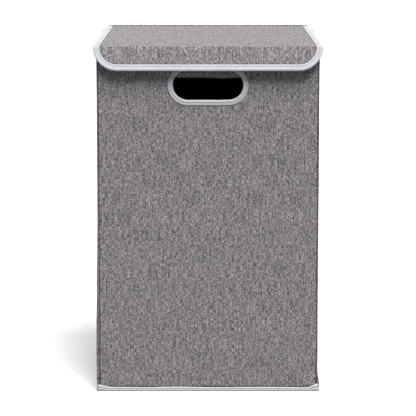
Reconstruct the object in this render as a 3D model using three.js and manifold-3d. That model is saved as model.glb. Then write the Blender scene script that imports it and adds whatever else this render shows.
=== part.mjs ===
// A collapsible laundry hamper with a flip lid, in millimetres, +Z up.
// The front faces -Y. The origin is on the floor, in the middle of the box.
//
// Every wall is a board between an outer fabric cover and a lining. The two sides are split by an
// upright crease and fold inwards like bellows, so the back comes forward against the front. The
// stiffened base insert turns up against the front first. The lid hinges along the top of the back,
// and its front flap hangs over the rim. Bindings are folded tape sewn over the raw edges.
import * as THREE from "three";
import { mergeVertices } from "three/addons/utils/BufferGeometryUtils.js";
import Module from "manifold-3d";

const wasm = await Module();
wasm.setup();

// ---- the whole hamper ----
const WIDTH = 360; // outer faces of the side walls
const DEPTH = 300; // outer faces of the front and back walls
const HEIGHT = 572; // floor to the top of the closed lid

// ---- materials ----
const FABRIC = 0.8; // cover and lining cloth
const GAP = 0.3; // between pieces that touch in the real object
const WALL = 5; // cover, board and lining together

// ---- walls ----
const CORNER_GAP = 4; // front or back wall to the side wall, filled by the corner's cloth
const CREASE_GAP = 2; // between the two halves of a side wall
const WALL_BOTTOM = 8.3; // the walls stand on the base binding
const RIM_TOP = HEIGHT - WALL - 0.7; // top of the facing, just under the lid
const WALL_TOP = RIM_TOP - FABRIC - GAP; // under the facing's turned edge
const BOARD_INSET = 3; // the boards stop short of the covers' edges

// ---- hand-holes, in the front and the back ----
const HOLE_WIDTH = 114; // clear opening
const HOLE_HEIGHT = 49;
const HOLE_CENTRE = HEIGHT - 64.5; // above the floor
const HOLE_TAPE = 8.5; // width of the binding round the hole

// ---- rim facing: cloth turned over the rim and hemmed inside ----
const FACING_BOTTOM = HEIGHT - 49; // it shows in the top of the hand-holes
const FACING_INSET = 10; // from the side walls

// ---- base ----
const BASE_TAPE_HEIGHT = 8;
const BASE_TAPE_PROUD = 1; // the tape stands this much outside the walls
const FLOOR_CLOTH = 1;
const INSERT_BOARD = 2.4;
const INSERT_COVER = 0.6;
const INSERT_CLEARANCE = 3; // to the side walls

// ---- lid and flap ----
const LID_FRONT_WIDTH = 369; // the lid is wider than the box at the front
const LID_BACK_WIDTH = 345; // and narrower at its hinge
const CREASE_Y = -156.2; // where the flap's cloth turns down
const FLAP_DROP = 40; // lid top to the flap's lower edge
const FLAP_THICKNESS = 4.2;
const FLAP_LEAN = THREE.MathUtils.degToRad(14); // the stiff crease holds the flap out at the bottom
const TAPE_WIDTH = 11; // binding round the lid and the flap
const TAPE_THICKNESS = 5;
const HINGE_STRIP_DROP = 22; // the lid's cloth, sewn down the back wall

const ARC_STEPS = 12; // steps in each half circle or rounded corner

const FINISHES = {
  linen: { color: 0x7f7c7e, roughness: 0.92, metalness: 0 },
  tape: { color: 0xb9bcc2, roughness: 0.8, metalness: 0 },
  lining: { color: 0x1b1b1d, roughness: 0.85, metalness: 0 },
  board: { color: 0x9a8468, roughness: 0.9, metalness: 0 },
};

// ---- geometry helpers ----

/** A box between two corners. */
function block(from, to) {
  const size = to.map((value, i) => value - from[i]);
  const middle = to.map((value, i) => (value + from[i]) / 2);
  return new THREE.BoxGeometry(...size).translate(...middle);
}

/** An outline drawn in X and Z, made into a plate that stands between two values of Y. */
function uprightPlate(outline, y1, y2) {
  const [near, far] = [Math.min(y1, y2), Math.max(y1, y2)];
  const options = { depth: far - near, bevelEnabled: false, curveSegments: ARC_STEPS };
  return new THREE.ExtrudeGeometry(outline, options).rotateX(Math.PI / 2).translate(0, far, 0);
}

/** An outline drawn in X and Y, made into a plate that lies between two heights. */
function flatPlate(outline, bottom, top) {
  const options = { depth: top - bottom, bevelEnabled: false, curveSegments: ARC_STEPS };
  return new THREE.ExtrudeGeometry(outline, options).translate(0, 0, bottom);
}

/** A rectangle between two corners, as a Shape. */
function rectangle(x1, y1, x2, y2) {
  const corners = [[x1, y1], [x2, y1], [x2, y2], [x1, y2]];
  return new THREE.Shape(corners.map(([x, y]) => new THREE.Vector2(x, y)));
}

/** A hand-hole's outline, grown outwards by `grow`. */
function handHole(grow) {
  const radius = HOLE_HEIGHT / 2 + grow;
  const straight = (HOLE_WIDTH - HOLE_HEIGHT) / 2;
  const outline = new THREE.Shape();
  outline.absarc(straight, HOLE_CENTRE, radius, -Math.PI / 2, Math.PI / 2, false);
  outline.absarc(-straight, HOLE_CENTRE, radius, Math.PI / 2, (3 * Math.PI) / 2, false);
  return outline;
}

/** The same outline as a hole in `shape`. */
function withHole(shape, hole) {
  shape.holes.push(new THREE.Path(hole.getPoints(ARC_STEPS)));
  return shape;
}

/** Joins overlapping closed geometries into one. */
function join(geometries) {
  const solids = geometries.map((geometry) => {
    const bare = geometry.clone();
    bare.deleteAttribute("normal");
    bare.deleteAttribute("uv");
    const merged = mergeVertices(bare);
    return new wasm.Manifold(
      new wasm.Mesh({
        numProp: 3,
        vertProperties: Float32Array.from(merged.attributes.position.array),
        triVerts: Uint32Array.from(merged.index.array),
      }),
    );
  });
  const mesh = solids.reduce((whole, solid) => whole.add(solid)).getMesh();
  const geometry = new THREE.BufferGeometry();
  geometry.setAttribute("position", new THREE.BufferAttribute(mesh.vertProperties, 3));
  geometry.setIndex(new THREE.BufferAttribute(mesh.triVerts, 1));
  geometry.computeVertexNormals();
  return geometry;
}

/** A named sub-part with a material of its own. */
function part(name, finish, geometry) {
  const mesh = new THREE.Mesh(geometry, new THREE.MeshStandardMaterial(FINISHES[finish]));
  mesh.name = name;
  return mesh;
}

/** Distances of a wall's three layers from its outer face. */
const LAYERS = {
  cover: { finish: "linen", from: 0, to: FABRIC, inset: 0 },
  board: { finish: "board", from: FABRIC + GAP, to: WALL - FABRIC - GAP, inset: BOARD_INSET },
  lining: { finish: "lining", from: WALL - FABRIC, to: WALL, inset: 0 },
};

// ---- front and back walls ----

/** Tape folded round the edge of a hand-hole: a sleeve through the wall with a flange each side. */
function handHoleBinding(outer, inwards) {
  const outside = outer - inwards * (GAP + FABRIC);
  const inside = outer + inwards * (WALL + GAP + FABRIC);
  const flange = () => withHole(handHole(HOLE_TAPE), handHole(0));
  const sleeve = withHole(handHole(FABRIC), handHole(0));
  return join([
    uprightPlate(sleeve, outside, inside),
    uprightPlate(flange(), outside, outside + inwards * FABRIC),
    uprightPlate(flange(), inside, inside - inwards * FABRIC),
  ]);
}

/** Cloth turned over a rim: an L section drawn as distance inwards and height, then run along. */
function facing(length, insideFace) {
  const profile = new THREE.Shape();
  profile.moveTo(0, WALL_TOP + GAP);
  profile.lineTo(insideFace, WALL_TOP + GAP);
  profile.lineTo(insideFace, FACING_BOTTOM);
  profile.lineTo(insideFace + FABRIC, FACING_BOTTOM);
  profile.lineTo(insideFace + FABRIC, RIM_TOP);
  profile.lineTo(0, RIM_TOP);
  profile.closePath();
  const geometry = new THREE.ExtrudeGeometry(profile, { depth: length, bevelEnabled: false });
  // profile X becomes the way inwards (+Y), profile Y becomes Z, and the run lies along X
  return geometry.rotateX(Math.PI / 2).rotateZ(Math.PI / 2).translate(-length / 2, 0, 0);
}

/** A front or back wall; `side` is -1 for the front and 1 for the back. */
function endWall(name, side) {
  const group = new THREE.Group();
  const outer = (side * DEPTH) / 2;
  const inwards = -side;
  const tapeRoom = FABRIC + GAP;
  for (const [layer, { finish, from, to, inset }] of Object.entries(LAYERS)) {
    const half = WIDTH / 2 - inset;
    const sheet = rectangle(-half, WALL_BOTTOM + inset, half, WALL_TOP - inset);
    const outline = withHole(sheet, handHole(tapeRoom));
    const geometry = uprightPlate(outline, outer + inwards * from, outer + inwards * to);
    group.add(part(`${name}_${layer}`, finish, geometry));
  }
  group.add(part(`${name}_handle_binding`, "tape", handHoleBinding(outer, inwards)));

  const facingLength = WIDTH - 2 * (WALL + FACING_INSET);
  const facingFace = WALL + 2 * GAP + FABRIC;
  const strip = facing(facingLength, facingFace);
  if (side > 0) strip.rotateZ(Math.PI);
  group.add(part(`${name}_rim_facing`, "linen", strip.translate(0, outer, 0)));
  return group;
}

// ---- side walls ----

/** Half of a side wall; `side` is -1 for the left and 1 for the right, `end` -1 at the front. */
function sidePanel(name, side, end) {
  const group = new THREE.Group();
  const outer = (side * WIDTH) / 2;
  const nearCrease = (end * CREASE_GAP) / 2;
  const nearCorner = end * (DEPTH / 2 - WALL - CORNER_GAP);
  const [y1, y2] = [Math.min(nearCrease, nearCorner), Math.max(nearCrease, nearCorner)];
  for (const [layer, { finish, from, to, inset }] of Object.entries(LAYERS)) {
    const [x1, x2] = [outer - side * from, outer - side * to].sort((a, b) => a - b);
    const low = [x1, y1 + inset, WALL_BOTTOM + inset];
    const high = [x2, y2 - inset, WALL_TOP - inset];
    group.add(part(`${name}_${layer}`, finish, block(low, high)));
  }
  const strip = facing(y2 - y1 - 2 * GAP, WALL + GAP);
  strip.rotateZ((side * Math.PI) / 2).translate(outer, (y1 + y2) / 2, 0);
  group.add(part(`${name}_rim_facing`, "linen", strip));
  return group;
}

/** Cloth that closes a corner or a crease of a side wall, flush with its outer face. */
function foldStrip(name, side, y1, y2) {
  const outer = (side * WIDTH) / 2;
  const [x1, x2] = [outer, outer - side * FABRIC].sort((a, b) => a - b);
  const [near, far] = [Math.min(y1, y2) + GAP, Math.max(y1, y2) - GAP];
  return part(name, "linen", block([x1, near, WALL_BOTTOM], [x2, far, WALL_TOP]));
}

function sideWalls() {
  const group = new THREE.Group();
  const wallFace = DEPTH / 2 - WALL;
  for (const [sideName, side] of [["left", -1], ["right", 1]]) {
    for (const [endName, end] of [["front", -1], ["rear", 1]]) {
      group.add(sidePanel(`${sideName}_${endName}`, side, end));
      const corner = `${sideName}_${endName}_corner_strip`;
      group.add(foldStrip(corner, side, end * wallFace, end * (wallFace - CORNER_GAP)));
    }
    group.add(foldStrip(`${sideName}_crease_strip`, side, -CREASE_GAP / 2, CREASE_GAP / 2));
  }
  return group;
}

// ---- base ----

function base() {
  const group = new THREE.Group();
  const [halfX, halfY] = [WIDTH / 2, DEPTH / 2];

  const proud = BASE_TAPE_PROUD;
  const ring = rectangle(-halfX - proud, -halfY - proud, halfX + proud, halfY + proud);
  const [innerX, innerY] = [halfX - WALL, halfY - WALL];
  const ringOutline = withHole(ring, rectangle(-innerX, -innerY, innerX, innerY));
  group.add(part("base_binding", "tape", flatPlate(ringOutline, 0, BASE_TAPE_HEIGHT)));

  const cloth = [innerX - GAP, innerY - GAP];
  const cover = block([-cloth[0], -cloth[1], 0], [cloth[0], cloth[1], FLOOR_CLOTH]);
  group.add(part("floor_fabric", "linen", cover));

  const insertX = innerX - INSERT_CLEARANCE;
  const [front, rear] = [-innerY + 2 * GAP, innerY - INSERT_CLEARANCE];
  const boardTop = FLOOR_CLOTH + GAP + INSERT_BOARD;
  const insert = block([-insertX, front, FLOOR_CLOTH + GAP], [insertX, rear, boardTop]);
  group.add(part("base_board", "board", insert));
  const top = boardTop + GAP;
  const insertCover = block([-insertX, front, top], [insertX, rear, top + INSERT_COVER]);
  group.add(part("base_board_cover", "lining", insertCover));
  return group;
}

// ---- lid ----

/** Half the lid's width at a given Y; the sides run straight from the crease to the hinge. */
function lidHalfWidth(y) {
  const share = (y - CREASE_Y) / (DEPTH / 2 - CREASE_Y);
  return THREE.MathUtils.lerp(LID_FRONT_WIDTH, LID_BACK_WIDTH, share) / 2;
}

/** The lid's outline between two values of Y, `inset` in from its slanting sides. */
function lidOutline(front, rear, inset) {
  const corners = [[-1, front], [1, front], [1, rear], [-1, rear]];
  const points = corners.map(([side, y]) => new THREE.Vector2(side * (lidHalfWidth(y) - inset), y));
  return new THREE.Shape(points);
}

function lid() {
  const group = new THREE.Group();
  const under = HEIGHT - WALL;
  const rear = DEPTH / 2 - GAP;
  const fronts = { cover: CREASE_Y, board: CREASE_Y + WALL, lining: CREASE_Y + WALL };
  for (const [layer, { finish, from, to, inset }] of Object.entries(LAYERS)) {
    const outline = lidOutline(fronts[layer], rear - inset, TAPE_WIDTH + GAP + inset);
    group.add(part(`lid_${layer}`, finish, flatPlate(outline, HEIGHT - to, HEIGHT - from)));
  }
  for (const [name, side] of [["left", -1], ["right", 1]]) {
    const edge = (y, inset) => new THREE.Vector2(side * (lidHalfWidth(y) - inset), y);
    const front = CREASE_Y + TAPE_THICKNESS;
    const strip = [edge(front, 0), edge(rear, 0), edge(rear, TAPE_WIDTH), edge(front, TAPE_WIDTH)];
    const geometry = flatPlate(new THREE.Shape(strip), under, HEIGHT);
    group.add(part(`lid_binding_${name}`, "tape", geometry));
  }
  return group;
}

/** The flap's outline hanging from the crease: its lower corners are arcs as tall as the flap. */
function flapOutline(inset) {
  const half = LID_FRONT_WIDTH / 2 - inset;
  const top = HEIGHT - FABRIC - GAP;
  const radius = FLAP_DROP - FABRIC - GAP - inset;
  const outline = new THREE.Shape();
  outline.absarc(-half + radius, top, radius, Math.PI, 1.5 * Math.PI, false);
  outline.absarc(half - radius, top, radius, -Math.PI / 2, 0, false);
  return outline;
}

/** The tape along the flap's sides and lower edge, open at the crease. */
function flapBindingOutline() {
  const outer = flapOutline(0).getPoints(ARC_STEPS);
  const inner = flapOutline(TAPE_WIDTH).getPoints(ARC_STEPS);
  return new THREE.Shape([...outer, ...inner.reverse()]);
}

/** The flap, drawn hanging straight down and then leant outwards about the crease. */
function flap() {
  const group = new THREE.Group();
  group.position.set(0, -CREASE_Y, -HEIGHT);
  const layers = {
    cover: { ...LAYERS.cover },
    board: { ...LAYERS.board, to: FLAP_THICKNESS - FABRIC - GAP },
    lining: { ...LAYERS.lining, from: FLAP_THICKNESS - FABRIC, to: FLAP_THICKNESS },
  };
  for (const [layer, { finish, from, to, inset }] of Object.entries(layers)) {
    const outline = flapOutline(TAPE_WIDTH + GAP + inset);
    group.add(part(`flap_${layer}`, finish, uprightPlate(outline, CREASE_Y + from, CREASE_Y + to)));
  }
  const proud = (TAPE_THICKNESS - FLAP_THICKNESS) / 2;
  const [near, far] = [CREASE_Y - proud, CREASE_Y + FLAP_THICKNESS + proud];
  group.add(part("flap_binding", "tape", uprightPlate(flapBindingOutline(), near, far)));
  const crease = new THREE.Group();
  crease.position.set(0, CREASE_Y, HEIGHT);
  crease.rotation.x = -FLAP_LEAN;
  return crease.add(group);
}

/** The lid's cloth where it is sewn to the outside of the back wall. */
function lidHingeStrip() {
  const half = LID_BACK_WIDTH / 2 - TAPE_WIDTH;
  const face = DEPTH / 2 + GAP;
  const [bottom, top] = [RIM_TOP - HINGE_STRIP_DROP, RIM_TOP];
  const strip = block([-half, face, bottom], [half, face + FABRIC, top]);
  return part("lid_hinge_strip", "linen", strip);
}

const hamper = new THREE.Group();
hamper.add(
  endWall("front", -1),
  endWall("back", 1),
  sideWalls(),
  base(),
  lid(),
  flap(),
  lidHingeStrip(),
);

export default hamper;
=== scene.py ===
"""The looks of a collapsible fabric laundry hamper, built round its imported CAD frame.

Every cloth part is a sheet drawn flat and wrapped round the board it covers. Bindings are folded tape
run along an edge, with their stitches as real thread. Lengths in metres; X right, -Y front, +Z up.
"""

import math

import bpy
import numpy as np
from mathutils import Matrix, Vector


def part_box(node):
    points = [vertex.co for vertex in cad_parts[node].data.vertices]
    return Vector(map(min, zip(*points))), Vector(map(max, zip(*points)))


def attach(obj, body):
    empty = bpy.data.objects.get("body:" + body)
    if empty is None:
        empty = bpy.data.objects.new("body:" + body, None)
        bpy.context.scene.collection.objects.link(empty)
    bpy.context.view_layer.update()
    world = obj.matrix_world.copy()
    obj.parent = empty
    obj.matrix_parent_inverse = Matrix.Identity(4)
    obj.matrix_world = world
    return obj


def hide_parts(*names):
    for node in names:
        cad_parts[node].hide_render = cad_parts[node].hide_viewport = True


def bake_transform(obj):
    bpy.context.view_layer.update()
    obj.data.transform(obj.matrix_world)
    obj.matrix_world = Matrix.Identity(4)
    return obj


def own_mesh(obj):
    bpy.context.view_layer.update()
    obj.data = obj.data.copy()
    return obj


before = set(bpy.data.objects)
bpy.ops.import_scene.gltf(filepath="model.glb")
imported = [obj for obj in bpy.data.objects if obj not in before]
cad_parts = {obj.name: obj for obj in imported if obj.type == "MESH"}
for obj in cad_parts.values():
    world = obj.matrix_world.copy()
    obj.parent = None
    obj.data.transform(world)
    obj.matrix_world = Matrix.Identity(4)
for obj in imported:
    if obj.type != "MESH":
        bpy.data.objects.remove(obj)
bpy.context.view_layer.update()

MM = 0.001
Y_AXIS = np.array([0.0, 1.0, 0.0])
Z_AXIS = np.array([0.0, 0.0, 1.0])
SIDES = (("left", -1), ("right", 1))
ENDS = (("front", -1), ("rear", 1))
WALL_AT = {"front": "front", "rear": "back"}

# ---- places read from the frame ----
front_low, front_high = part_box("front_cover")
facing_low, facing_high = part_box("front_rim_facing")
lid_low, lid_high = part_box("lid_cover")
HALF_WIDTH = front_high.x
FRONT_Y = front_low.y
BACK_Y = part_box("back_cover")[1].y
WALL_BOTTOM = front_low.z
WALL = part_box("front_lining")[1].y - FRONT_Y
RIM_TOP = facing_high.z
FACING_BOTTOM = facing_low.z
LID_TOP = lid_high.z
LID_REAR = lid_high.y
CREASE_Y = lid_low.y
FLAP_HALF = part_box("flap_binding")[1].x
SIDE_CORNER = -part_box("right_front_cover")[0].y
SIDE_CREASE = -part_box("right_front_cover")[1].y
BASE_TAPE_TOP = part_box("base_binding")[1].z
HINGE_STRIP_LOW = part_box("lid_hinge_strip")[0].z

# ---- sizes of the cloth work ----
CLOTH = 0.8 * MM
CELL = 3.5 * MM
LID_TAPE = 11 * MM
HOLE_TAPE = 8.5 * MM
CREASE_RADIUS = 3 * MM
FLAP_LEAN = math.radians(14)
FLAP_LENGTH = 40 * MM
FLAP_ARC = 38.9 * MM
SEAM_INSET = 3.0 * MM

# ---- worked out from those: the walls' cloth ----
COVER_LOW = WALL_BOTTOM - 2.4 * MM
COVER_HIGH = RIM_TOP - 5 * MM
LINING_HIGH = RIM_TOP - 3 * MM

# ---- the hand-hole ----
hole_low, hole_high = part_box("front_handle_binding")
HOLE_Z = (hole_low.z + hole_high.z) / 2
HOLE_RADIUS = (hole_high.z - hole_low.z) / 2 - HOLE_TAPE
HOLE_STRAIGHT = hole_high.x - HOLE_TAPE - HOLE_RADIUS

# ---- the lid laid flat, from its hinge to the flap's edge ----
LID_REAR_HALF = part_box("lid_binding_right")[0].x + LID_TAPE
BEND_ANGLE = math.pi / 2 - FLAP_LEAN
BEND = BEND_ANGLE * CREASE_RADIUS
BEND_TANGENT = CREASE_RADIUS * math.tan(BEND_ANGLE / 2)
BEND_START = LID_REAR - CREASE_Y - BEND_TANGENT
FLAT_END = BEND_START + BEND + FLAP_LENGTH - BEND_TANGENT
ARC_START = FLAT_END - FLAP_ARC

# ---- studio: a floor and sky as bright as white paper, but giving the hamper less light ----
WORLD_LIGHT = 0.22
WORLD_SEEN = 1.05
FLOOR_SEEN = (0.9, 0.89, 0.88, 1)
FLOOR_BOUNCED = (0.18, 0.18, 0.19, 1)
FLOOR_HALF = 40.0
KEY_STRENGTH = 5.5
KEY_ELEVATION = math.radians(61)
KEY_AZIMUTH = math.radians(19)
KEY_SOFTNESS = math.radians(36)
FILL_STRENGTH = 1.1
FILL_ELEVATION = math.radians(20)
FILL_AZIMUTH = math.radians(205)
FILL_SOFTNESS = math.radians(40)
CAMERA_AIM = Vector((0, FRONT_Y, 0.3065))
CAMERA_PITCH = math.radians(10.3)
CAMERA_DISTANCE = 4.07
CAMERA_LENS = 216.7


# ==== materials ====


def new_material(name):
    material = bpy.data.materials.new(name)
    material.use_nodes = True
    return material, material.node_tree, material.node_tree.nodes["Principled BSDF"]


def node(tree, kind, inputs=None, **settings):
    """Adds a node, sets its properties, and sets or links its inputs."""
    made = tree.nodes.new(kind)
    for key, value in settings.items():
        setattr(made, key, value)
    for key, value in (inputs or {}).items():
        if isinstance(value, bpy.types.NodeSocket):
            tree.links.new(value, made.inputs[key])
        else:
            made.inputs[key].default_value = value
    return made


def calc(tree, operation, a, b=0.0, c=0.0):
    """One Math node's value."""
    return node(tree, "ShaderNodeMath", {0: a, 1: b, 2: c}, operation=operation).outputs[0]


def flat_mm(tree):
    """The cloth's own flat coordinates in millimetres."""
    uv = node(tree, "ShaderNodeUVMap", uv_map="cloth").outputs["UV"]
    scaled = node(tree, "ShaderNodeVectorMath", {0: uv, "Scale": 1000.0}, operation="SCALE")
    return scaled.outputs["Vector"]


def streaks(tree, place, wide, tall, shift=0.0, detail=2.0):
    """Noise whose grains are `wide` by `tall` millimetres, centred on zero."""
    inputs = {"Vector": place, "Scale": (1 / wide, 1 / tall, 1.0), "Location": (shift, shift, shift)}
    stretched = node(tree, "ShaderNodeMapping", inputs).outputs["Vector"]
    grain = node(tree, "ShaderNodeTexNoise", {"Vector": stretched, "Scale": 1.0, "Detail": detail})
    return calc(tree, "SUBTRACT", grain.outputs["Fac"], 0.5)


def thread_wave(tree, along, pitch):
    """A wave along one axis, one crest to a thread."""
    return calc(tree, "SINE", calc(tree, "MULTIPLY", along, 2 * math.pi / pitch))


def plain_weave(tree, place, pitch):
    """Height of a plain weave, from 0 to 1: threads pass over and under each other."""
    axes = node(tree, "ShaderNodeSeparateXYZ", {"Vector": place})
    warp = thread_wave(tree, axes.outputs["X"], pitch)
    weft = thread_wave(tree, axes.outputs["Y"], pitch)
    return calc(tree, "MULTIPLY_ADD", calc(tree, "MULTIPLY", warp, weft), 0.5, 0.5)


def ramp(tree, value, stops):
    """A colour ramp through (position, colour) stops."""
    made = node(tree, "ShaderNodeValToRGB", {"Fac": value})
    elements = made.color_ramp.elements
    while len(elements) < len(stops):
        elements.new(0.5)
    for element, (position, colour) in zip(elements, stops):
        element.position = position
        element.color = (*colour, 1.0)
    return made.outputs["Color"]


def total(tree, start, *weighted):
    """start plus each value times its weight."""
    result = start
    for value, weight in weighted:
        result = calc(tree, "MULTIPLY_ADD", value, weight, result)
    return result


def surface(tree, shader, colour, rough, height, strength, depth):
    """Links a cloth's colour, its roughness and its threads' relief, `depth` metres deep."""
    tree.links.new(colour, shader.inputs["Base Color"])
    tree.links.new(rough, shader.inputs["Roughness"])
    bump = node(tree, "ShaderNodeBump", {"Height": height, "Strength": strength, "Distance": depth})
    tree.links.new(bump.outputs["Normal"], shader.inputs["Normal"])


def linen(name, dark, middle, light):
    """Heather linen-look cloth: light and dark threads both ways, slubs and a plain weave."""
    material, tree, shader = new_material(name)
    place = flat_mm(tree)
    warp = streaks(tree, place, 1.0, 6.0)
    weft = streaks(tree, place, 5.0, 1.0, shift=31.0)
    speck = streaks(tree, place, 2.0, 2.0, shift=77.0, detail=1.0)
    slub = streaks(tree, place, 2.0, 30.0, shift=203.0)
    blotch = streaks(tree, place, 16.0, 30.0, shift=140.0)
    weave = plain_weave(tree, place, 1.1)
    shade = total(
        tree, 0.45, (warp, 1.6), (weft, 1.5), (speck, 0.6), (slub, 0.8), (blotch, 0.14), (weave, 0.1)
    )
    colour = ramp(tree, shade, [(0.12, dark), (0.5, middle), (0.88, light)])
    rough = total(tree, 0.86, (speck, 0.2), (weave, -0.06))
    height = total(tree, 0.0, (weave, 0.7), (warp, 0.9), (weft, 0.8))
    surface(tree, shader, colour, rough, height, 0.55, 0.22 * MM)
    shader.inputs["Sheen Weight"].default_value = 0.06
    shader.inputs["Sheen Roughness"].default_value = 0.55
    shader.inputs["Specular IOR Level"].default_value = 0.2
    return material


def tape(name, shadow, colour):
    """Woven binding tape: fine ribs across it, with faint wear."""
    material, tree, shader = new_material(name)
    place = flat_mm(tree)
    axes = node(tree, "ShaderNodeSeparateXYZ", {"Vector": place})
    ribs = thread_wave(tree, axes.outputs["X"], 0.75)
    cords = thread_wave(tree, axes.outputs["Y"], 0.9)
    wear = streaks(tree, place, 7.0, 2.2, shift=12.0)
    grime = streaks(tree, place, 60.0, 9.0, shift=50.0)
    shade = total(tree, 0.62, (ribs, 0.05), (cords, 0.04), (wear, 0.5), (grime, 0.35))
    colours = ramp(tree, shade, [(0.1, shadow), (0.75, colour)])
    rough = total(tree, 0.72, (wear, 0.2))
    height = total(tree, 0.0, (ribs, 0.5), (cords, 0.25), (wear, 0.8))
    surface(tree, shader, colours, rough, height, 0.4, 0.18 * MM)
    shader.inputs["Specular IOR Level"].default_value = 0.08
    return material


def spun_lining(name, dark, light):
    """Non-woven lining: pressed dots on a matted sheet."""
    material, tree, shader = new_material(name)
    place = flat_mm(tree)
    dots = plain_weave(tree, place, 1.8)
    fibre = streaks(tree, place, 0.8, 0.8)
    crease = streaks(tree, place, 25.0, 60.0, shift=9.0)
    shade = total(tree, 0.45, (dots, 0.15), (fibre, 0.6), (crease, 0.3))
    colours = ramp(tree, shade, [(0.1, dark), (0.9, light)])
    rough = total(tree, 0.82, (fibre, 0.2))
    height = total(tree, 0.0, (dots, 0.8), (fibre, 0.5))
    surface(tree, shader, colours, rough, height, 0.5, 0.2 * MM)
    shader.inputs["Specular IOR Level"].default_value = 0.2
    return material


def grey_board(name):
    """Recycled board: brown-grey pulp with specks, seen only where cloth is lifted."""
    material, tree, shader = new_material(name)
    place = node(tree, "ShaderNodeTexCoord").outputs["Object"]
    pulp = node(tree, "ShaderNodeTexNoise", {"Vector": place, "Scale": 420.0, "Detail": 4.0})
    colour = ramp(tree, pulp.outputs["Fac"], [(0.3, (0.25, 0.19, 0.13)), (0.7, (0.42, 0.33, 0.23))])
    tree.links.new(colour, shader.inputs["Base Color"])
    shader.inputs["Roughness"].default_value = 0.9
    relief = {"Height": pulp.outputs["Fac"], "Strength": 0.2, "Distance": 0.2 * MM}
    bump = node(tree, "ShaderNodeBump", relief)
    tree.links.new(bump.outputs["Normal"], shader.inputs["Normal"])
    return material


def sewing_thread(name, colour):
    """Twisted polyester thread."""
    material, tree, shader = new_material(name)
    place = node(tree, "ShaderNodeTexCoord").outputs["Object"]
    twist = node(tree, "ShaderNodeTexNoise", {"Vector": place, "Scale": 2600.0, "Detail": 1.0})
    dark = tuple(0.6 * c for c in colour)
    twisted = ramp(tree, twist.outputs["Fac"], [(0.3, dark), (0.65, colour)])
    tree.links.new(twisted, shader.inputs["Base Color"])
    shader.inputs["Roughness"].default_value = 0.6
    shader.inputs["Sheen Weight"].default_value = 0.2
    return material


LINEN = linen("heather_linen", (0.045, 0.041, 0.044), (0.18, 0.167, 0.174), (0.42, 0.396, 0.405))
TAPE = tape("binding_tape", (0.255, 0.26, 0.273), (0.535, 0.543, 0.565))
LINING = spun_lining("black_lining", (0.006, 0.006, 0.007), (0.02, 0.02, 0.022))
FLOOR_CLOTH = spun_lining("floor_cloth", (0.03, 0.03, 0.032), (0.07, 0.07, 0.072))
BOARD = grey_board("grey_board")
PALE_THREAD = sewing_thread("pale_thread", (0.3, 0.3, 0.315))
# Dark cord material: painted shade, for the shadow lines in the corner seams and along the lid tape's
# inner edge.
SHADE_CORD = sewing_thread("painted_shade_cord", (0.05, 0.048, 0.05))
GREY_THREAD = sewing_thread("grey_thread", (0.16, 0.155, 0.16))


# ==== mesh helpers ====


def add_object(name, points, faces, loop_uvs, material):
    """A smooth mesh object with its flat cloth coordinates, in metres, as UVs."""
    mesh = bpy.data.meshes.new(name)
    mesh.from_pydata(points.reshape(-1, 3).tolist(), [], faces)
    layer = mesh.uv_layers.new(name="cloth")
    layer.data.foreach_set("uv", np.asarray(loop_uvs, np.float32).ravel())
    mesh.shade_smooth()
    mesh.materials.append(material)
    obj = bpy.data.objects.new(name, mesh)
    bpy.context.scene.collection.objects.link(obj)
    return obj


def add_sheet(name, points, flat, material, keep=None, thickness=CLOTH, flip=False):
    """A sheet from a grid of points and the same grid laid flat. `keep` masks the cells."""
    rows, columns = points.shape[:2]
    index = np.arange(rows * columns).reshape(rows, columns)
    cells = np.stack([index[:-1, :-1], index[:-1, 1:], index[1:, 1:], index[1:, :-1]], axis=-1)
    faces = cells.reshape(-1, 4) if keep is None else cells[keep]
    if flip:
        faces = faces[:, ::-1]
    used, faces = np.unique(faces, return_inverse=True)
    faces = faces.reshape(-1, 4)
    points = points.reshape(-1, 3)[used]
    flat = flat.reshape(-1, 2)[used]
    obj = add_object(name, points, faces.tolist(), flat[faces.ravel()], material)
    solid = obj.modifiers.new("cloth thickness", "SOLIDIFY")
    solid.thickness = thickness
    solid.offset = -1
    return obj


def add_loft(name, rings, material, closed=False):
    """A solid swept through rings of points. `closed` joins the last ring to the first."""
    count, around = rings.shape[:2]
    index = np.arange(count * around).reshape(count, around)
    steps = count if closed else count - 1
    here = index[:steps]
    there = np.roll(index, -1, axis=0)[:steps]
    corners = [here, there, np.roll(there, -1, axis=1), np.roll(here, -1, axis=1)]
    faces = np.stack(corners, axis=-1).reshape(-1, 4).tolist()

    centres = rings.mean(axis=1)
    along = np.concatenate([[0], np.cumsum(lengths(centres, closed=True))])
    across = np.concatenate([[0], np.cumsum(lengths(rings[0], closed=True))])
    u, v = np.meshgrid(along, across, indexing="ij")
    near, far = slice(0, steps), slice(1, steps + 1)
    loops = [
        (u[near, :-1], v[near, :-1]),
        (u[far, :-1], v[far, :-1]),
        (u[far, 1:], v[far, 1:]),
        (u[near, 1:], v[near, 1:]),
    ]
    uvs = np.stack([np.stack(pair, axis=-1) for pair in loops], axis=2).reshape(-1, 2)
    if not closed:
        faces += [index[0].tolist(), index[-1][::-1].tolist()]
        uvs = np.vstack([uvs, np.zeros((2 * around, 2))])
    return add_object(name, rings, faces, uvs, material)


def lengths(points, closed=False):
    """Distance from each point to the next."""
    following = np.roll(points, -1, axis=0) if closed else points[1:]
    return np.linalg.norm(following - points[: len(following)], axis=-1)


def running(values):
    """How far along a line each of its points is."""
    return np.concatenate([[0], np.cumsum(lengths(values))])


def smooth(value):
    """Rises from 0 to 1 with level ends."""
    t = np.clip(value, 0, 1)
    return t * t * (3 - 2 * t)


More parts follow.
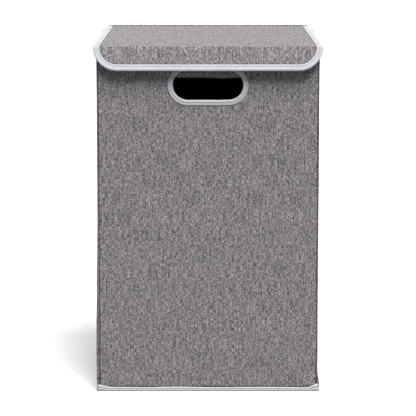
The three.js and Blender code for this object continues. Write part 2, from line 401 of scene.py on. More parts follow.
def ripple(u, v, size, seed):
    """Soft waves about `size` long, mostly within -1 to 1, the same on every run."""
    draw = np.random.default_rng(seed)
    waves = 0
    for _ in range(8):
        heading = draw.uniform(0, 2 * math.pi)
        turn = 2 * math.pi / (size * draw.uniform(0.6, 1.7))
        phase = draw.uniform(0, 2 * math.pi)
        waves = waves + np.sin(turn * (u * math.cos(heading) + v * math.sin(heading)) + phase)
    return waves / 3.2


def wrap_edge(length, radius, turn):
    """Across and depth of a cloth that is flat in the middle and rolls over both its edges."""
    flat_half = length / 2 - radius
    near_edge = flat_half - np.array([1.5, 3.0, 4.5, 6.0, 7.5, 9.5]) * MM
    inner_half = near_edge[-1] - CELL
    middle = np.linspace(-inner_half, inner_half, max(2, round(2 * inner_half / CELL)) + 1)
    middle = np.concatenate([[-flat_half], -near_edge, middle, near_edge[::-1], [flat_half]])
    angles = np.radians([22.5, 45, 67.5, 90])
    across = np.append(flat_half + radius * np.sin(angles), length / 2)
    depth = np.append(-radius * (1 - np.cos(angles)), -turn)
    across = np.concatenate([-across[::-1], middle, across])
    depth = np.concatenate([depth[::-1], np.zeros(len(middle)), depth])
    return across, depth


# ==== hand-hole ====


def hole_distance(x, z, grow=0.0):
    """How far outside the hand-hole's edge a point of the wall is."""
    return np.hypot(np.maximum(np.abs(x) - HOLE_STRAIGHT, 0), z - HOLE_Z) - (HOLE_RADIUS + grow)


def snap_to_hole(x, z, grow):
    """Moves the points inside the grown hole out to its edge."""
    inside = np.maximum(-hole_distance(x, z, grow), 0)
    reach_x = np.maximum(np.abs(x) - HOLE_STRAIGHT, 0) * np.sign(x)
    reach_z = z - HOLE_Z
    reach = np.maximum(np.hypot(reach_x, reach_z), 1e-9)
    return x + inside * reach_x / reach, z + inside * reach_z / reach


def hole_outline():
    """Points of the hand-hole's edge and the way out from it, going round once."""
    straight = np.arange(-HOLE_STRAIGHT, HOLE_STRAIGHT, 4 * MM)
    points = []
    ways = []
    for side in (1, -1):
        for angle in np.linspace(-math.pi / 2, math.pi / 2, 22):
            way = side * np.array([math.cos(angle), math.sin(angle)])
            points.append(np.array([side * HOLE_STRAIGHT, HOLE_Z]) + HOLE_RADIUS * way)
            ways.append(way)
        for x in straight[1:]:
            way = np.array([0.0, side])
            points.append(np.array([-side * x, HOLE_Z]) + HOLE_RADIUS * way)
            ways.append(way)
    return np.array(points), np.array(ways)


# ==== walls ====


class Face:
    """A wall's flat face: `centre` is on it at floor level, `out` points away from the cloth."""

    def __init__(self, centre, out):
        self.centre = np.array(centre, float)
        self.out = np.array(out, float)
        self.right = np.cross(Z_AXIS, self.out)

    def at(self, across, height, lift):
        """Points this far to the right, up and out."""
        across, height, lift = np.broadcast_arrays(across, height, lift)
        level = self.centre + across[..., None] * self.right
        return level + height[..., None] * Z_AXIS + lift[..., None] * self.out


FRONT_FACE = Face((0, FRONT_Y, 0), (0, -1, 0))
BACK_FACE = Face((0, BACK_Y, 0), (0, 1, 0))
FRONT_INSIDE = Face((0, FRONT_Y + WALL, 0), (0, 1, 0))
BACK_INSIDE = Face((0, BACK_Y - WALL, 0), (0, -1, 0))


def side_face(side, end, inside=False):
    """Face of half a side wall; side -1 is left, end -1 is the front half."""
    middle = end * (SIDE_CORNER + SIDE_CREASE) / 2
    if inside:
        return Face((side * (HALF_WIDTH - WALL), middle, 0), (-side, 0, 0))
    return Face((side * HALF_WIDTH, middle, 0), (side, 0, 0))


def panel(name, face, width, low, high, material, seed, body, radius=1.3 * MM, turn=3.6 * MM,
          bulge=0.5 * MM, waves=0.3 * MM, grow=None):
    """A cloth stretched over one side of a board, its edges rolled over the board's.

    `turn` is how deep its edges go. `grow` cuts it out round a hand-hole, that much outside the hole.
    """
    middle = (low + high) / 2
    across, side_depth = wrap_edge(width, radius, turn)
    up, end_depth = wrap_edge(high - low, 3 * radius, turn)
    flat_x, flat_z = np.meshgrid(running(across[:, None]), running(up[:, None]))
    x, z = np.meshgrid(across, up + middle)
    depth = np.minimum(*np.meshgrid(side_depth, end_depth))
    edge = np.minimum(width / 2 - np.abs(x), (high - low) / 2 - np.abs(z - middle))
    fade = smooth(edge / (28 * MM))
    keep = None
    if grow:
        fade = fade * smooth((hole_distance(x, z) - HOLE_TAPE) / (26 * MM))
        cell_x = (x[:-1, :-1] + x[1:, 1:]) / 2
        cell_z = (z[:-1, :-1] + z[1:, 1:]) / 2
        keep = hole_distance(cell_x, cell_z, grow) > 0
        x, z = snap_to_hole(x, z, grow)
    lift = depth + fade * (bulge + waves * ripple(x, z, 120 * MM, seed))
    flat = np.stack([flat_x + seed * 0.37, flat_z], axis=-1)
    obj = add_sheet(f"{name}_cloth", face.at(x, z, lift), flat, material, keep=keep)
    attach(obj, body)
    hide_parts(name)


def wall_cover(body, face, width, seed, grow=None):
    """The linen outside of one wall panel."""
    panel(f"{body}_cover", face, width, COVER_LOW, COVER_HIGH, LINEN, seed, body, grow=grow)


def wall_lining(body, face, width, seed, grow=None):
    """The black inside of one wall panel, which lies flatter than the cover."""
    panel(f"{body}_lining", face, width, WALL_BOTTOM, LINING_HIGH, LINING, seed, body,
          radius=0.8 * MM, turn=1.0 * MM, bulge=0.1 * MM, waves=0.15 * MM, grow=grow)


def end_walls():
    """Covers and linings of the front and the back, cut out for the hand-holes."""
    walls = [("front", FRONT_FACE, FRONT_INSIDE, 11), ("back", BACK_FACE, BACK_INSIDE, 12)]
    for body, outside, inside, seed in walls:
        wall_cover(body, outside, 2 * (HALF_WIDTH - SEAM_INSET), seed, grow=4 * MM)
        wall_lining(body, inside, 2 * (HALF_WIDTH - WALL), seed + 10, grow=1.5 * MM)


def side_walls():
    """Covers and linings of the four half sides."""
    width = SIDE_CORNER - SIDE_CREASE
    seed = 30
    for side_name, side in SIDES:
        for end_name, end in ENDS:
            body = f"{side_name}_{end_name}"
            wall_cover(body, side_face(side, end), width, seed)
            wall_lining(body, side_face(side, end, inside=True), width, seed + 10)
            seed += 1


# ==== rim facings ====


def facing_profile(inner):
    """From the outer edge over the rim to the hem, as (how far in, height); it hangs `inner` in."""
    top = RIM_TOP
    outer = -0.5 * MM
    radius = 1.3 * MM
    hem = 8 * MM
    fall = top - FACING_BOTTOM + 4.5 * MM
    profile = [
        (outer + 0.6 * MM, top - 9.5 * MM),
        (outer, top - 9 * MM),
        (outer, top - 6 * MM),
        (outer, top - radius),
    ]
    angles = np.radians([30, 60, 90])
    for angle in angles:
        profile.append((outer + radius * (1 - math.cos(angle)), top - radius * (1 - math.sin(angle))))
    for angle in angles[::-1]:
        profile.append((inner - radius * (1 - math.sin(angle)), top - radius * (1 - math.cos(angle))))
    for drop in np.linspace(3 * MM, fall - hem - 1 * MM, 9):
        profile.append((inner, top - drop))
    profile += [
        (inner + 0.25 * MM, top - fall + hem - 0.6 * MM),
        (inner - 0.3 * MM, top - fall + hem),
        (inner + 0.35 * MM, top - fall + hem - 1.2 * MM),
        (inner + 0.5 * MM, top - fall + 3 * MM),
        (inner + 0.45 * MM, top - fall + 0.8 * MM),
        (inner, top - fall),
    ]
    return np.array(profile)


def facing(body, face, width, inside_width, inner, seed):
    """Cloth turned over a wall's rim: down a little outside, and hanging to a hem inside."""
    profile = facing_profile(inner)
    across = np.linspace(-width / 2, width / 2, round(width / CELL) + 1)
    x, inwards = np.meshgrid(across, profile[:, 0])
    _, z = np.meshgrid(across, profile[:, 1])
    x = x * np.where(inwards > WALL - 1 * MM, inside_width / width, 1)
    hang = smooth((RIM_TOP - z - 8 * MM) / (25 * MM)) * (inwards > 2 * MM)
    z = z + hang * 0.8 * MM * ripple(x, 0, 75 * MM, seed)
    inwards = inwards + hang * 0.35 * MM * (1 + ripple(x, z, 55 * MM, seed + 1))
    flat = np.stack(np.meshgrid(across + seed, running(profile)), axis=-1)
    cad_node = f"{body}_rim_facing"
    obj = add_sheet(f"{cad_node}_cloth", face.at(x, z, -inwards), flat, LINEN, thickness=0.6 * MM)
    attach(obj, body)
    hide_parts(cad_node)


def facings():
    """The rim's cloth on every panel; at the ends it hangs clear of the hand-hole's tape."""
    end_width = 2 * (HALF_WIDTH - SEAM_INSET)
    end_inside = 2 * (HALF_WIDTH - WALL) - 3 * MM
    behind_tape = WALL + 1.7 * MM
    facing("front", FRONT_FACE, end_width, end_inside, behind_tape, 51)
    facing("back", BACK_FACE, end_width, end_inside, behind_tape, 52)
    side_width = SIDE_CORNER - SIDE_CREASE - 2.4 * MM
    seed = 53
    for side_name, side in SIDES:
        for end_name, end in ENDS:
            body = f"{side_name}_{end_name}"
            facing(body, side_face(side, end), side_width, side_width, WALL + 0.5 * MM, seed)
            seed += 1


# ==== corners and creases ====


def corner_profile():
    """A corner's cloth in plan, as distances in from the side wall's and the end wall's outer faces.

    It comes out of the end wall's seam, rounds the corner and dives behind the side's cloth.
    """
    radius = 1.1 * MM
    points = [
        (SEAM_INSET + 0.4 * MM, 3.4 * MM),
        (SEAM_INSET - 0.6 * MM, 3.2 * MM),
        (SEAM_INSET - 1.1 * MM, 2.2 * MM),
        (SEAM_INSET - 1.25 * MM, 0.6 * MM),
    ]
    for angle in np.radians([20, 40, 60, 80, 90]):
        points.append((radius - radius * math.sin(angle), radius - radius * math.cos(angle)))
    points += [(0.0, from_end * MM) for from_end in (2.6, 4.0, 5.5)]
    points += [(0.15 * MM, 7.4 * MM), (0.7 * MM, 8.6 * MM), (1.8 * MM, 9.4 * MM)]
    return np.array(points)


def corner_puff(side, end, z):
    """How far a corner's cloth stands out: at the right front's foot, and up much of the left front."""
    if (side, end) == (1, -1):
        return 3.6 * MM * np.exp(-(((z - 9 * MM) / (16 * MM)) ** 2))
    if (side, end) == (-1, -1):
        held_by_tape = 0.75 + 0.25 * smooth((z - 10 * MM) / (14 * MM))
        return 3.4 * MM * smooth((360 * MM - z) / (340 * MM)) * held_by_tape
    return 0 * z


def join_corner(obj, side_name, end_name):
    """Bakes a strip into place with no parent. The right rear corner has no joint, so there it rides the
    back.
    """
    wall = WALL_AT[end_name]
    if (side_name, end_name) == ("right", "rear"):
        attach(obj, wall)
    else:
        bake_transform(obj)


def corner_strip(side_name, side, end_name, end):
    """The cloth round one upright corner, turned in over the rim at its top."""
    profile = corner_profile()
    rim_heights = RIM_TOP - np.array([1.6, 0.7, 0.4]) * MM
    heights = np.append(np.arange(COVER_LOW, RIM_TOP - 3 * MM, 5 * MM), rim_heights)
    turned_in = np.zeros((len(heights), 1))
    turned_in[-2:, 0] = (0.25, 0.95)
    z, from_side = np.meshgrid(heights, profile[:, 0], indexing="ij")
    _, from_end = np.meshgrid(heights, profile[:, 1], indexing="ij")
    inside = WALL + 0.5 * MM
    from_side = from_side + (inside - from_side) * turned_in
    from_end = from_end + (inside - from_end) * turned_in
    wobble = 0.25 * MM * ripple(z, 0 * z, 70 * MM, 70 + side + 3 * end)
    on_side = smooth((from_end - 0.4 * MM) / (2.4 * MM))
    puff = corner_puff(side, end, z) * (1 - smooth((from_end - 5.5 * MM) / (3.5 * MM)))
    x = side * (HALF_WIDTH - from_side + (wobble + puff) * on_side)
    y = end * (-FRONT_Y - from_end + wobble * (1 - on_side))
    flat = np.stack(np.meshgrid(running(profile), heights), axis=-1)
    corner = f"{side_name}_{end_name}_corner"
    obj = add_sheet(f"{corner}_cloth", np.stack([x, y, z], axis=-1), flat, LINEN, flip=side * end > 0)
    join_corner(obj, side_name, end_name)
    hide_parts(f"{corner}_strip")


def paint_seam_shadow(side_name, side, end_name, end):
    """A dark cord laid in the seam between an end wall's cloth and the corner's: painted shade, standing
    in for the seam's shadow line.
    """
    radius = 0.85 * MM
    heights = np.arange(COVER_LOW + 14 * MM, RIM_TOP - 6 * MM, 4 * MM)
    angles = np.radians(np.arange(0, 360, 60))
    sway = 0.12 * MM * ripple(heights, 0 * heights, 22 * MM, 90 + side + 3 * end)[:, None]
    x = side * (HALF_WIDTH - SEAM_INSET + 0.75 * MM + sway) + radius * np.cos(angles)
    y = end * (-FRONT_Y - 1.25 * MM - sway) + radius * np.sin(angles)
    z = np.broadcast_to(heights[:, None], x.shape)
    # the dark cord is painted shade where the seam's shadow falls
    obj = add_loft(f"{side_name}_{end_name}_seam_shadow_cord", np.stack([x, y, z], axis=-1), SHADE_CORD)
    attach(obj, WALL_AT[end_name])


def corner_lining(side_name, side, end_name, end):
    """Black strip that closes the corner inside, between two linings."""
    across = np.linspace(SIDE_CORNER - 1.5 * MM, -FRONT_Y - WALL + 1.5 * MM, 6)
    heights = np.arange(WALL_BOTTOM, LINING_HIGH, 8 * MM)
    z, y = np.meshgrid(heights, across, indexing="ij")
    x = np.full_like(y, side * (HALF_WIDTH - WALL + 0.5 * MM))
    flat = np.stack(np.meshgrid(across, heights), axis=-1)
    name = f"{side_name}_{end_name}_corner_lining"
    obj = add_sheet(name, np.stack([x, end * y, z], axis=-1), flat, LINING, thickness=0.4 * MM,
                    flip=side * end > 0)
    join_corner(obj, side_name, end_name)


def crease_sheet(name, side, heights, across, reach, material, thickness, flip):
    """A narrow strip along a side's crease. `reach` is its distance from the middle at each `across`."""
    z, y = np.meshgrid(heights, across * MM, indexing="ij")
    x = np.broadcast_to(reach, z.shape)
    flat = np.stack(np.meshgrid(across * MM, heights), axis=-1)
    points = np.stack([side * x, y, z], axis=-1)
    return add_sheet(name, points, flat, material, thickness=thickness, flip=flip)


def crease_strip(side_name, side):
    """The cloth at the bottom of the upright crease in a side wall."""
    across = np.array([-3.2, -2.0, -1.0, -0.4, 0.0, 0.4, 1.0, 2.0, 3.2])
    sink = np.array([1.4, 1.1, 0.8, 0.95, 1.15, 0.95, 0.8, 1.1, 1.4]) * MM
    heights = np.arange(COVER_LOW, COVER_HIGH + 2 * MM, 6 * MM)
    obj = crease_sheet(f"{side_name}_crease_cloth", side, heights, across, HALF_WIDTH - sink, LINEN,
                       0.5 * MM, flip=side < 0)
    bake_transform(obj)
    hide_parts(f"{side_name}_crease_strip")


def crease_lining(side_name, side):
    """Black strip inside, over the gap between two half linings."""
    across = np.array([-3.0, -1.0, 0.0, 1.0, 3.0])
    stand = np.array([0.4, 0.4, 0.9, 0.4, 0.4]) * MM
    heights = np.arange(WALL_BOTTOM, LINING_HIGH, 6 * MM)
    obj = crease_sheet(f"{side_name}_crease_lining", side, heights, across, HALF_WIDTH - WALL + stand,
                       LINING, 0.4 * MM, flip=side > 0)
    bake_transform(obj)


def corners_and_creases():
    for side_name, side in SIDES:
        for end_name, end in ENDS:
            corner_strip(side_name, side, end_name, end)
            paint_seam_shadow(side_name, side, end_name, end)
            corner_lining(side_name, side, end_name, end)
        crease_strip(side_name, side)
        crease_lining(side_name, side)


# ==== tapes and stitches ====


def stitch_row(name, points, normals, material, closed=False, stitch=2.7 * MM, gap=0.9 * MM,
               thickness=0.55 * MM):
    """Sewing along a line: each stitch is a thread that dives into the cloth at both ends."""
    if closed:
        points = np.vstack([points, points[:1]])
        normals = np.vstack([normals, normals[:1]])
    distance = running(points)
    count = int(distance[-1] / (stitch + gap))
    starts = np.arange(count) * distance[-1] / count
    shares = np.array([0.0, 0.12, 0.35, 0.65, 0.88, 1.0])
    girth = np.array([0.35, 0.85, 1.0, 1.0, 0.85, 0.35]) * thickness / 2
    arch = np.array([-0.9, -0.1, 0.35, 0.35, -0.1, -0.9]) * thickness / 2
    places = starts[:, None] + shares[None, :] * stitch
    centre = np.stack([np.interp(places, distance, points[:, i]) for i in range(3)], axis=-1)
    up = np.stack([np.interp(places, distance, normals[:, i]) for i in range(3)], axis=-1)
    up /= np.linalg.norm(up, axis=-1, keepdims=True)
    way = centre[:, -1:] - centre[:, :1]
    way = way / np.linalg.norm(way, axis=-1, keepdims=True)
    beside = np.cross(up, np.broadcast_to(way, up.shape))
    centre = centre + arch[None, :, None] * up
    angles = np.linspace(0, 2 * math.pi, 6, endpoint=False)
    spokes = np.cos(angles)[:, None] * beside[:, :, None, :] + np.sin(angles)[:, None] * up[:, :, None, :]
    rings = centre[:, :, None, :] + girth[None, :, None, None] * spokes

    around = len(angles)
    index = np.arange(len(shares) * around).reshape(len(shares), around)
    corners = [index[:-1], np.roll(index[:-1], -1, 1), np.roll(index[1:], -1, 1), index[1:]]
    one = np.stack(corners, axis=-1).reshape(-1, 4)
    quads = (one[None] + (np.arange(count) * index.size)[:, None, None]).reshape(-1, 4).tolist()
    caps = []
    for start in range(0, count * index.size, index.size):
        caps.append((index[0][::-1] + start).tolist())
        caps.append((index[-1] + start).tolist())
    faces = quads + caps
    loops = sum(len(face) for face in faces)
    return add_object(name, rings, faces, np.zeros((loops, 2)), material)


def offset_rings(points, ways, up, section):
    """Rings of a section, given as (along the way out, along up) pairs, at each point of a line."""
    reach, rise = section[:, 0], section[:, 1]
    return points[:, None] + reach[None, :, None] * ways[:, None] + rise[None, :, None] * up[:, None]


def hole_binding(wall, face, seed):
    """Tape folded over the edge of a hand-hole, sewn through with two rows."""
    outline, ways = hole_outline()
    points = face.at(outline[:, 0], outline[:, 1], 0.0)
    way = ways[:, :1] * face.right + ways[:, 1:] * Z_AXIS
    out = np.broadcast_to(face.out, points.shape)
    outside = np.array([
        (8.5, 0.15), (8.1, 0.85), (7.4, 0.7), (6.6, 0.95), (5.4, 1.0), (4.6, 0.7), (3.8, 1.1),
        (2.4, 1.4), (1.0, 1.35), (0.2, 0.8), (-0.1, -0.1),
    ]) * MM
    inside = np.array([
        (-0.1, -0.2), (0.3, -0.9), (1.2, -1.1), (3.0, -1.0), (4.4, -0.7), (4.8, -0.2), (4.6, 0.1),
        (1.4, 0.0), (0.8, 0.5),
    ]) * MM
    inside[:, 1] -= WALL + 0.3 * MM
    against_cloth = np.array([(0.8, -0.8), (1.4, -0.15), (8.2, 0.0)]) * MM
    rings = offset_rings(points, way, out, np.vstack([outside, inside, against_cloth]))
    slack = 0.18 * MM * ripple(points[:, 0], points[:, 2], 30 * MM, seed)
    rings = rings + slack[:, None, None] * way[:, None]
    name = f"{wall}_handle_tape"
    obj = add_loft(name, rings, TAPE, closed=True)
    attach(obj, wall)
    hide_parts(f"{wall}_handle_binding")
    for row, reach in enumerate([4.6 * MM, 7.4 * MM], start=1):
        line = points + reach * way + 0.75 * MM * out
        sewn = stitch_row(f"{name}_stitches_{row}", line, out.copy(), PALE_THREAD, closed=True)
        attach(sewn, wall)


# ==== lid and flap ====


def fold(x, s, n):
    """Wraps the flat lid over its crease: s runs from the hinge to the flap's edge, n is height."""
    x, s, n = np.broadcast_arrays(x, s, n)
    angle = np.clip(s - BEND_START, 0, BEND) / CREASE_RADIUS
    bending = (s > BEND_START) & (s < BEND_START + BEND)
    radius = np.where(bending, np.maximum(CREASE_RADIUS + n, 0.2 * MM), CREASE_RADIUS + n)
    before = np.minimum(s, BEND_START)
    beyond = np.maximum(s - BEND_START - BEND, 0)
    y = LID_REAR - before - radius * np.sin(angle) - beyond * np.cos(angle)
    z = LID_TOP - CREASE_RADIUS + radius * np.cos(angle) - beyond * np.sin(angle)
    return np.stack([x, y, z], axis=-1)


def fold_normal(s):
    """The way up from the flat lid, wrapped over the crease."""
    angle = np.clip(s - BEND_START, 0, BEND) / CREASE_RADIUS
    return np.stack([0 * angle, -np.sin(angle), np.cos(angle)], axis=-1)


def flat_half_width(s, inset=0.0):
    """Half the flat lid's width, `inset` in from its edge."""
    straight = LID_REAR_HALF + (FLAP_HALF - LID_REAR_HALF) * np.clip(s / ARC_START, 0, 1)
    radius = FLAP_ARC - inset
    down = np.clip(s - ARC_START, 0, radius)
    return straight - inset - radius + np.sqrt(radius**2 - down**2)


def lid_rows(inset):
    """Rows of the flat lid: even to the crease, close over it, then closing up round the arcs."""
    rows = np.arange(0, BEND_START, CELL)
    rows = np.append(rows, np.linspace(BEND_START, BEND_START + BEND, 8))
    radius = FLAP_ARC - inset
    arc = ARC_START + radius * np.sin(np.linspace(0, math.pi / 2, 22))
    return np.append(rows, arc[arc > rows[-1] + 0.3 * MM])


def lid_sheet(layer, material, height, flip):
    """One cloth of the lid and flap; `height` gives how high it lies over the flat lid's face."""
    inset = 3 * MM
    rows = lid_rows(inset)
    columns = round(2 * FLAP_HALF / CELL)
    share, s = np.meshgrid(np.linspace(-1, 1, columns + 1), rows)
    half = flat_half_width(s, inset)
    x = share * half
    edge = np.minimum(half - np.abs(x), FLAT_END - inset - s)
    points = fold(x, s, height(share, s, edge))
    obj = add_sheet(f"lid_{layer}_cloth", points, np.stack([x + 3, s], axis=-1), material, flip=flip)
    join_crease(obj)
    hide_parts(f"lid_{layer}", f"flap_{layer}")


def join_crease(obj):
    """Bakes the piece into place with no parent: it does not follow the lid or the flap."""
    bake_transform(obj)


def lid_cover_height(share, s, edge):
    """The top cloth: tucked under the tape at its edges, a little full in the middle."""
    full = smooth((edge - 4 * MM) / (30 * MM))
    waves = ripple(share * FLAP_HALF, s, 110 * MM, 101)
    return 0.05 * MM + full * (0.5 * MM + 0.3 * MM * waves)


def lid_lining_height(share, s, _edge):
    """The underside's lining, which lies less deep on the flap's thinner board."""
    on_flap = smooth((s - BEND_START) / BEND)
    depth = WALL - 0.8 * MM - 0.4 * MM * on_flap
    return -depth - 0.15 * MM * ripple(share * FLAP_HALF, s, 90 * MM, 103)


def lid_edge():
    """The flat lid's edge from the left of the hinge, round the flap, to the right of the hinge."""
    side = np.append(np.arange(0, BEND_START - 4 * MM, 6 * MM), np.arange(BEND_START, ARC_START, 1.2 * MM))
    left = [(-flat_half_width(s), s, -1.0, 0.0) for s in side]
    centre = FLAP_HALF - FLAP_ARC
    for angle in np.linspace(0, math.pi / 2, 26):
        out = (-math.cos(angle), math.sin(angle))
        left.append((-centre + FLAP_ARC * out[0], ARC_START + FLAP_ARC * out[1], *out))
    bottom = [(x, FLAT_END, 0.0, 1.0) for x in np.arange(-centre + 6 * MM, centre - 3 * MM, 6 * MM)]
    right = [(-x, s, -out_x, out_s) for x, s, out_x, out_s in left[::-1]]
    return np.array(left + bottom + right)


def along_edge(edge, reach, rise):
    """Points `reach` out from each place of the lid's edge and `rise` up, wrapped over the crease."""
    x, s, out_x, out_s = edge.T[:, :, None]
    return fold(x + reach * out_x, s + reach * out_s, rise)


def lid_tape(edge):
    """One folded tape round the lid's sides and the flap, with its roll at the edge."""
    section = np.array([
        (-10.4, -0.5), (-10.3, 0.25), (-9.6, 0.75), (-7.9, 0.8), (-6.5, 0.7), (-5.8, 0.3), (-5.2, 0.75),
        (-3.9, 1.1), (-2.1, 1.2), (-0.5, 1.0), (0.5, 0.3), (0.8, -1.2), (0.6, -3.2), (-0.5, -4.6),
        (-4.0, -5.1), (-6.0, -4.9), (-10.0, -4.95), (-10.6, -4.5),
    ]) * MM
    fullness = 1 + 0.1 * ripple(edge[:, :1], edge[:, 1:2], 45 * MM, 111)
    rings = along_edge(edge, section[:, 0], section[:, 1] * fullness)
    obj = add_loft("lid_edge_tape", rings, TAPE)
    join_crease(obj)
    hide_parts("lid_binding_left", "lid_binding_right", "flap_binding")


def lid_tape_sewing(edge):
    """A dark cord along the lid tape's inner edge, painted shade for the shadow line between tape and
    cloth, and the tape's row of stitches.
    """
    radius = 0.4 * MM
    angles = np.linspace(0, 2 * math.pi, 6, endpoint=False)
    rings = along_edge(edge, -10.6 * MM + radius * np.cos(angles), 0.45 * MM + radius * np.sin(angles))
    # the cord is painted shade: the shadow line where the tape meets the cloth
    cord = add_loft("lid_edge_shadow_cord", rings, SHADE_CORD)
    join_crease(cord)

    sewn_at = -5.8 * MM
    line = along_edge(edge, sewn_at, 0.45 * MM)[:, 0]
    normals = fold_normal(edge[:, 1] + sewn_at * edge[:, 3])
    sewn = stitch_row("lid_edge_tape_stitches", line, normals, PALE_THREAD)
    join_crease(sewn)


def hinge_strip():
    """The lid's cloth where it turns down and is sewn to the outside of the back."""
    half = LID_REAR_HALF - 1.5 * MM
    top = LID_TOP + 0.95 * MM
    wall = BACK_Y + 1.2 * MM
    radius = 4 * MM
    profile = [(LID_REAR - 9 * MM, top - 0.7 * MM), (LID_REAR - 8.2 * MM, top)]
    profile.append((wall - radius - 2 * MM, top))
    for angle in np.radians(np.linspace(0, 90, 8)):
        profile.append((wall - radius + radius * math.sin(angle), top - radius + radius * math.cos(angle)))
    profile += [(wall, z) for z in np.linspace(top - radius - 4 * MM, HINGE_STRIP_LOW + 1 * MM, 6)]
    profile.append((wall - 0.5 * MM, HINGE_STRIP_LOW))
    profile = np.array(profile)
    across = np.linspace(-half, half, round(2 * half / CELL) + 1)
    x, y = np.meshgrid(across, profile[:, 0])
    _, z = np.meshgrid(across, profile[:, 1])
    y = y + 0.15 * MM * ripple(x, z, 60 * MM, 121)
    flat = np.stack(np.meshgrid(across + 5, running(profile)), axis=-1)
    obj = add_sheet("lid_hinge_cloth", np.stack([x, y, z], axis=-1), flat, LINEN, flip=True)
    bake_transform(obj)
    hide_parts("lid_hinge_strip")
    hinge_stitches("back", half, wall + 0.25 * MM, HINGE_STRIP_LOW + 3 * MM, Y_AXIS)
    hinge_stitches("lid", half, LID_REAR - 5 * MM, top + 0.1 * MM, Z_AXIS)


def hinge_stitches(body, half, y, z, up):
    """One row of sewing that holds the hinge strip to a body."""
    ends = np.linspace(-half + 2 * MM, half - 2 * MM, 90)
    line = np.stack([ends, np.full_like(ends, y), np.full_like(ends, z)], axis=-1)
    normals = np.broadcast_to(up, line.shape).copy()
    sewn = stitch_row(f"hinge_stitches_{body}", line, normals, GREY_THREAD)
    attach(sewn, body)


def lid_and_flap():
    lid_sheet("cover", LINEN, lid_cover_height, flip=True)
    lid_sheet("lining", LINING, lid_lining_height, flip=False)
    edge = lid_edge()
    lid_tape(edge)
    lid_tape_sewing(edge)
    hinge_strip()


# ==== base ====


def base_outline():
    """Points round the body's foot, from the front right corner, and the way out from each."""
    radius = 4 * MM
    half_x = HALF_WIDTH - radius
    half_y = -FRONT_Y - radius
    corners = np.array([(half_x, -half_y), (half_x, half_y), (-half_x, half_y), (-half_x, -half_y)])
    points = []
    ways = []
    for turn, (begin, end) in enumerate(zip(corners, np.roll(corners, -1, axis=0))):
        heading = turn * math.pi / 2
        way = np.array([math.cos(heading), math.sin(heading)])
        steps = round(float(np.linalg.norm(end - begin)) / (5 * MM))
        for share in np.linspace(0, 1, steps)[:-1]:
            points.append(begin + share * (end - begin) + radius * way)
            ways.append(way)
        for angle in np.linspace(heading, heading + math.pi / 2, 6)[:-1]:
            way = np.array([math.cos(angle), math.sin(angle)])
            points.append(end + radius * way)
            ways.append(way)
    return np.array(points), np.array(ways)


def front_corner_lift(points, x, rise, reach):
    """How far the base tape lifts near a place on the front's foot."""
    away = np.hypot(points[:, 0] - x, points[:, 1] - FRONT_Y)
    return rise * np.exp(-((away / reach) ** 2))


def fold_with_walls(obj):
    """The base's cloth rides the front wall, on a mesh of its own."""
    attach(obj, "front")
    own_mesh(obj)


def base_tape():
    """Tape folded under the bottom edge, all the way round, lifting at the front corners."""
    points, ways = base_outline()
    foot = np.column_stack([points, np.zeros(len(points))])
    way = np.column_stack([ways, np.zeros(len(ways))])
    up = np.broadcast_to(Z_AXIS, way.shape)
    top = BASE_TAPE_TOP - 1.2 * MM
    section = np.array([
        (-1.6 * MM, top - 0.3 * MM), (0.3 * MM, top), (1.1 * MM, top - 1.0 * MM),
        (1.1 * MM, top - 2.4 * MM), (0.75 * MM, top - 3.0 * MM), (1.25 * MM, top - 3.8 * MM),
        (1.4 * MM, 2.6 * MM), (1.1 * MM, 0.9 * MM), (0.2 * MM, 0.1 * MM), (-1.5 * MM, 0.0),
        (-4.8 * MM, 0.0), (-4.8 * MM, 0.9 * MM), (-1.6 * MM, 1.2 * MM),
    ])
    rings = offset_rings(foot, way, up, section)
    left_lift = front_corner_lift(points, -HALF_WIDTH + 4 * MM, 4.2 * MM, 9 * MM)
    right_lift = front_corner_lift(points, HALF_WIDTH - 4 * MM, 6.0 * MM, 7 * MM)
    lift = left_lift + right_lift + 0.3 * MM * ripple(points[:, 0], points[:, 1], 80 * MM, 131)
    share = smooth(section[:, 1] / top)
    rings[:, :, 2] += lift[:, None] * share[None, :]
    rings[:, :, 0] += (0.5 * right_lift - 0.6 * left_lift)[:, None] * (section[:, 0] > -1 * MM)
    obj = add_loft("base_tape", rings, TAPE, closed=True)
    fold_with_walls(obj)
    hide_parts("base_binding")

    line = foot + 0.85 * MM * way
    line[:, 2] = top - 2.9 * MM + lift * 0.6
    sewn = stitch_row("base_tape_stitches", line, way.copy(), PALE_THREAD, closed=True)
    fold_with_walls(sewn)


def floor_cloth():
    """The cloth that closes the bottom, sewn into the base tape."""
    low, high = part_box("floor_fabric")
    across = np.linspace(low.x, high.x, 71)
    back = np.linspace(low.y, high.y, 59)
    x, y = np.meshgrid(across, back)
    edge = np.minimum(high.x - np.abs(x), high.y - np.abs(y))
    z = high.z + smooth(edge / (20 * MM)) * 0.1 * MM * ripple(x, y, 60 * MM, 141)
    flat = np.stack([x, y], axis=-1)
    obj = add_sheet("floor_cloth", np.stack([x, y, z], axis=-1), flat, FLOOR_CLOTH, thickness=0.85 * MM)
    fold_with_walls(obj)
    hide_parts("floor_fabric")


def insert_sheet(name, up, level, turn):
    """One face of the stiff base's wrapping; `up` is 1 for the top and -1 for the underside."""
    low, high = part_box("base_board")
    width = high.x - low.x
    length = high.y - low.y
    across, side_depth = wrap_edge(width, 1.1 * MM, turn)
    along, end_depth = wrap_edge(length, 1.1 * MM, turn)
    x, y = np.meshgrid(across, along)
    drop = np.minimum(*np.meshgrid(side_depth, end_depth))
    edge = np.minimum(width / 2 - np.abs(x), length / 2 - np.abs(y))
    waves = 0.08 * MM * ripple(x, y, 70 * MM, 150 + up) * smooth(edge / (25 * MM))
    points = np.stack([x, y + (low.y + high.y) / 2, level + up * drop + waves], axis=-1)
    flat = np.stack(np.meshgrid(running(across[:, None]), running(along[:, None])), axis=-1)
    obj = add_sheet(name, points, flat, LINING, thickness=0.5 * MM, flip=up < 0)
    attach(obj, "base_insert")
    return obj


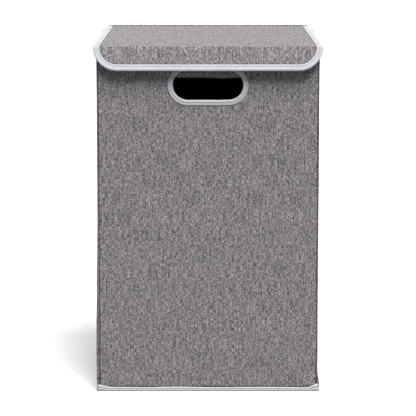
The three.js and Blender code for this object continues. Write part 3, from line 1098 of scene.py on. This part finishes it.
def base_insert():
    """The stiff base, wrapped in lining cloth: a top and an underside sewn together at the edge."""
    board_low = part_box("base_board")[0].z
    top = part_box("base_board_cover")[1].z
    cover = insert_sheet("base_insert_cloth", 1, top, (top - board_low) / 2)
    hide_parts("base_board_cover")
    insert_sheet("base_insert_underside", -1, board_low - 0.2 * MM, 1.0 * MM)


# ==== stage ====


def softbox(name, strength, elevation, azimuth, softness):
    """A very large, even light far away: azimuth 0 is in front, 90 at the right."""
    data = bpy.data.lights.new(name, "SUN")
    data.energy = strength
    data.angle = softness
    light = bpy.data.objects.new(name, data)
    level = math.cos(elevation)
    way = Vector((level * math.sin(azimuth), -level * math.cos(azimuth), math.sin(elevation)))
    light.rotation_euler = way.to_track_quat("Z", "Y").to_euler()
    bpy.context.scene.collection.objects.link(light)


def sky():
    """White all round."""
    world = bpy.data.worlds.new("studio")
    world.use_nodes = True
    tree = world.node_tree
    seen = node(tree, "ShaderNodeLightPath").outputs["Is Camera Ray"]
    strength = calc(tree, "MULTIPLY_ADD", seen, WORLD_SEEN - WORLD_LIGHT, WORLD_LIGHT)
    tree.links.new(strength, tree.nodes["Background"].inputs["Strength"])
    tree.nodes["Background"].inputs["Color"].default_value = (1, 1, 1, 1)
    bpy.context.scene.world = world


def studio_floor():
    material, tree, shader = new_material("pale_floor")
    seen = node(tree, "ShaderNodeLightPath").outputs["Is Camera Ray"]
    pale = node(tree, "ShaderNodeMix", {0: seen, 6: FLOOR_BOUNCED, 7: FLOOR_SEEN}, data_type="RGBA")
    tree.links.new(pale.outputs[2], shader.inputs["Base Color"])
    shader.inputs["Roughness"].default_value = 0.9
    corners = FLOOR_HALF * np.array([(-1, -1, 0), (1, -1, 0), (1, 1, 0), (-1, 1, 0)], float)
    add_object("studio_floor", corners, [[0, 1, 2, 3]], np.zeros((4, 2)), material)


def camera():
    """A long lens a little above the middle of the front."""
    data = bpy.data.cameras.new("camera")
    data.lens = CAMERA_LENS
    data.sensor_width = 36
    data.clip_end = 100
    obj = bpy.data.objects.new("camera", data)
    back = Vector((0, -math.cos(CAMERA_PITCH), math.sin(CAMERA_PITCH)))
    obj.location = CAMERA_AIM + CAMERA_DISTANCE * back
    obj.rotation_euler = (math.pi / 2 - CAMERA_PITCH, 0, 0)
    bpy.context.scene.collection.objects.link(obj)
    bpy.context.scene.camera = obj


def boards():
    """The boards are the CAD's own: only their material is new."""
    for name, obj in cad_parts.items():
        if name.endswith("board"):
            obj.data.materials.clear()
            obj.data.materials.append(BOARD)


bpy.context.scene.view_settings.view_transform = "Standard"
sky()
studio_floor()
softbox("key", KEY_STRENGTH, KEY_ELEVATION, KEY_AZIMUTH, KEY_SOFTNESS)
softbox("fill_behind", FILL_STRENGTH, FILL_ELEVATION, FILL_AZIMUTH, FILL_SOFTNESS)
camera()
boards()
end_walls()
side_walls()
facings()
corners_and_creases()
hole_binding("front", FRONT_FACE, 91)
hole_binding("back", BACK_FACE, 89)
lid_and_flap()
base_tape()
floor_cloth()
base_insert()
